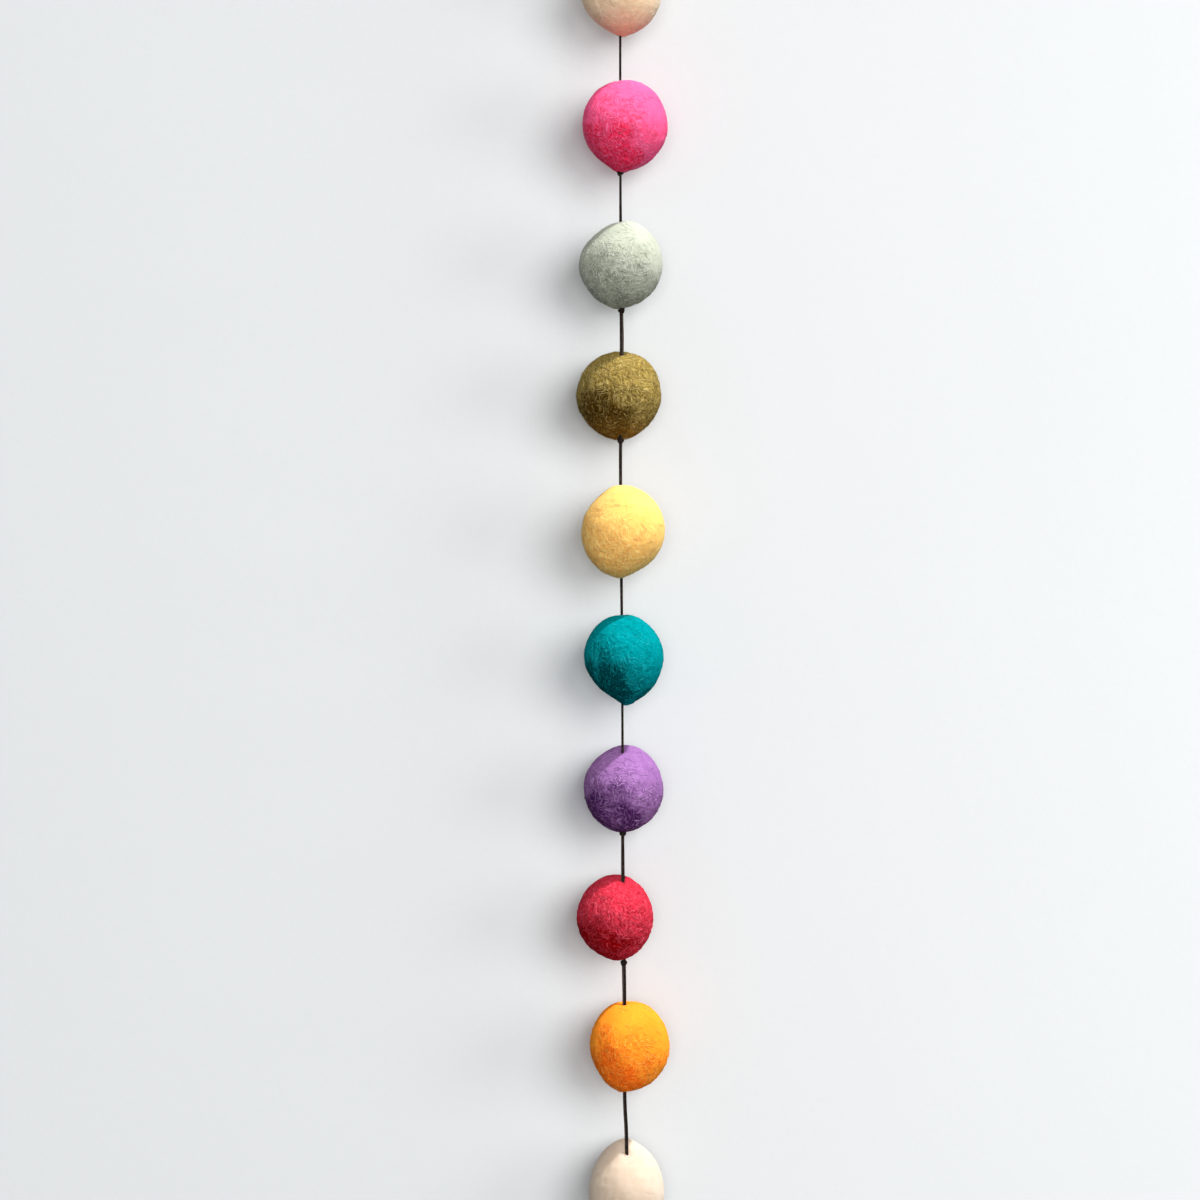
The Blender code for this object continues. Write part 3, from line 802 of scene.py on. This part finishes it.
class GARLAND_OT_ball(bpy.types.Operator):
    """Felt one ball over its packed form"""

    bl_idname = "garland.ball"
    bl_label = "Felt ball"

    node: StringProperty(name="Node", description="The packed ball that is dressed", default="ball_02_pink")

    def execute(self, context):
        settings = context.scene.garland_felt
        if self.node not in FELTS:
            raise RuntimeError(f"there is no ball named {self.node}")
        kind = FELTS[self.node]
        index = list(FELTS).index(self.node)
        # Left unseeded, the noise that bends the lay of the wool is another one in each run
        noise.seed_set(LAY_SEED)
        felt, middle = rolled_ball(self.node)
        work_felt(felt, middle, kind, index, settings.depth)
        hairs = loose_fibres(felt, middle, kind, index, int(kind.fibres * settings.hairs))
        deselect_all()
        hairs.select_set(True)
        felt.select_set(True)
        context.view_layer.objects.active = felt
        bpy.ops.object.join()
        felt.data.shade_smooth()
        colour = tuple(getattr(settings, kind.colour))
        felt.data.materials.clear()
        tip = tuple(getattr(settings, kind.tip)) if kind.tip else None
        tip_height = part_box(self.node)[0][2]
        material = felt_material("wool_" + self.node[8:] + self.node[4:7], colour, kind, index, tip, tip_height)
        felt.data.materials.append(material)
        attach(felt, "root")
        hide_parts(self.node)
        return {"FINISHED"}


class GARLAND_OT_knots(bpy.types.Operator):
    """Tie the knots: one is modelled, and each knot is a copy of it at its own size"""

    bl_idname = "garland.knots"
    bl_label = "Knots"

    def execute(self, context):
        settings = context.scene.garland_thread
        model = self.tie(context)
        material = thread_material("knotted_thread", settings.dark, settings.highlight_and_haze)
        for row in KNOTS:
            knot = bpy.data.objects.new(row.name, model.data.copy())
            knot.data.name = row.name
            context.scene.collection.objects.link(knot)
            across, up = row.width * MM, row.height * MM
            knot.scale = (across, across, up)
            knot.rotation_euler = (0.0, math.radians(-row.lean), math.radians(row.turn))
            knot.location = (pair_side(row.drop) * MM, 0.0, -row.drop * MM)
            set_place(knot)
            knot.data.materials.append(material)
            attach(knot, "root")
        bpy.data.objects.remove(model)
        return {"FINISHED"}

    def tie(self, context):
        """Turns of the doubled thread wound round it and across each other, one unit wide and one unit high."""
        turns = (
            ((0.0, 0.0, 0.22), (0.30, 0.10, 0.0), 0.36),
            ((0.0, 0.0, 0.04), (0.42, 0.10, 0.0), 0.345),
            ((0.0, 0.0, 0.08), (-0.45, -0.2, 0.6), 0.350),
            ((0.02, 0.0, -0.18), (-0.45, -0.2, 0.6), 0.290),
            ((0.0, 0.0, 0.05), (0.15, 0.75, 0.2), 0.300),
        )
        rings = []
        for place, turn, radius in turns:
            deselect_all()
            bpy.ops.mesh.primitive_torus_add(
                major_segments=36, minor_segments=12, major_radius=radius, minor_radius=0.15,
                location=place, rotation=turn)
            ring = context.object
            ply = ring.data.attributes.new("ply", "FLOAT", "POINT")
            worn = ring.data.attributes.new("worn", "FLOAT", "POINT")
            lobes = []
            for i, vertex in enumerate(ring.data.vertices):
                around, over = divmod(i, 12)
                lobe = abs(math.cos(1.5 * (2 * math.pi * over / 12 + 8 * 2 * math.pi * around / 36 / 3 * 2)))
                centre = Vector((vertex.co.x, vertex.co.y, 0.0)).normalized() * radius
                vertex.co = centre + (vertex.co - centre) * (0.84 + 0.16 * lobe)
                lobes.append(lobe)
            ply.data.foreach_set("value", lobes)
            worn.data.foreach_set("value", [0.05] * len(lobes))
            rings.append(ring)
        deselect_all()
        for ring in rings:
            ring.select_set(True)
        context.view_layer.objects.active = rings[0]
        bpy.ops.object.join()
        model = context.object
        set_place(model)
        model.data.shade_smooth()
        return model


class GARLAND_OT_thread(bpy.types.Operator):
    """Run the thread up through the balls, round its loop and down again"""

    bl_idname = "garland.thread"
    bl_label = "Thread"

    def execute(self, context):
        settings = context.scene.garland_thread
        path = catmull(thread_points(settings.pitch), 0.0002)
        thread = plied_tube("thread_plied", path, settings.diameter, settings.lay_length)
        top = max(range(len(path)), key=lambda i: path[i].z)
        # One strand, up to the loop's top, gets the grey haze
        worn = thread.data.attributes.new("worn", "FLOAT", "POINT")
        sides = len(thread.data.vertices) // len(path)
        worn.data.foreach_set("value", [float(i // sides < top) for i in range(len(thread.data.vertices))])
        thread.data.materials.append(thread_material("waxed_thread", settings.dark, settings.highlight_and_haze))
        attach(thread, "root")
        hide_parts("thread")
        return {"FINISHED"}


class GARLAND_PT_panel(bpy.types.Panel):
    """The garland's steps and settings"""

    bl_idname = "GARLAND_PT_panel"
    bl_label = "Felt garland"
    bl_space_type = "VIEW_3D"
    bl_region_type = "UI"
    bl_category = "Felt garland"

    def draw(self, context):
        layout = self.layout
        for step in (GARLAND_OT_stage, GARLAND_OT_ball, GARLAND_OT_knots, GARLAND_OT_thread):
            layout.operator(step.bl_idname)
        for name, kind in SETTINGS.items():
            box = layout.box()
            for key in kind.__annotations__:
                box.prop(getattr(context.scene, name), key)


SETTINGS = {"garland_felt": FeltSettings, "garland_thread": ThreadSettings, "garland_stage": StageSettings}
CLASSES = (
    FeltSettings, ThreadSettings, StageSettings, GARLAND_OT_stage, GARLAND_OT_ball, GARLAND_OT_knots,
    GARLAND_OT_thread, GARLAND_PT_panel,
)


def register():
    for kind in CLASSES:
        bpy.utils.register_class(kind)
    for name, kind in SETTINGS.items():
        setattr(bpy.types.Scene, name, PointerProperty(type=kind))


def unregister():
    for name in SETTINGS:
        delattr(bpy.types.Scene, name)
    for kind in reversed(CLASSES):
        bpy.utils.unregister_class(kind)


def main():
    register()
    bpy.ops.garland.stage()
    for node in FELTS:
        bpy.ops.garland.ball(node=node)
    bpy.ops.garland.knots()
    bpy.ops.garland.thread()


if __name__ == "__main__":
    main()
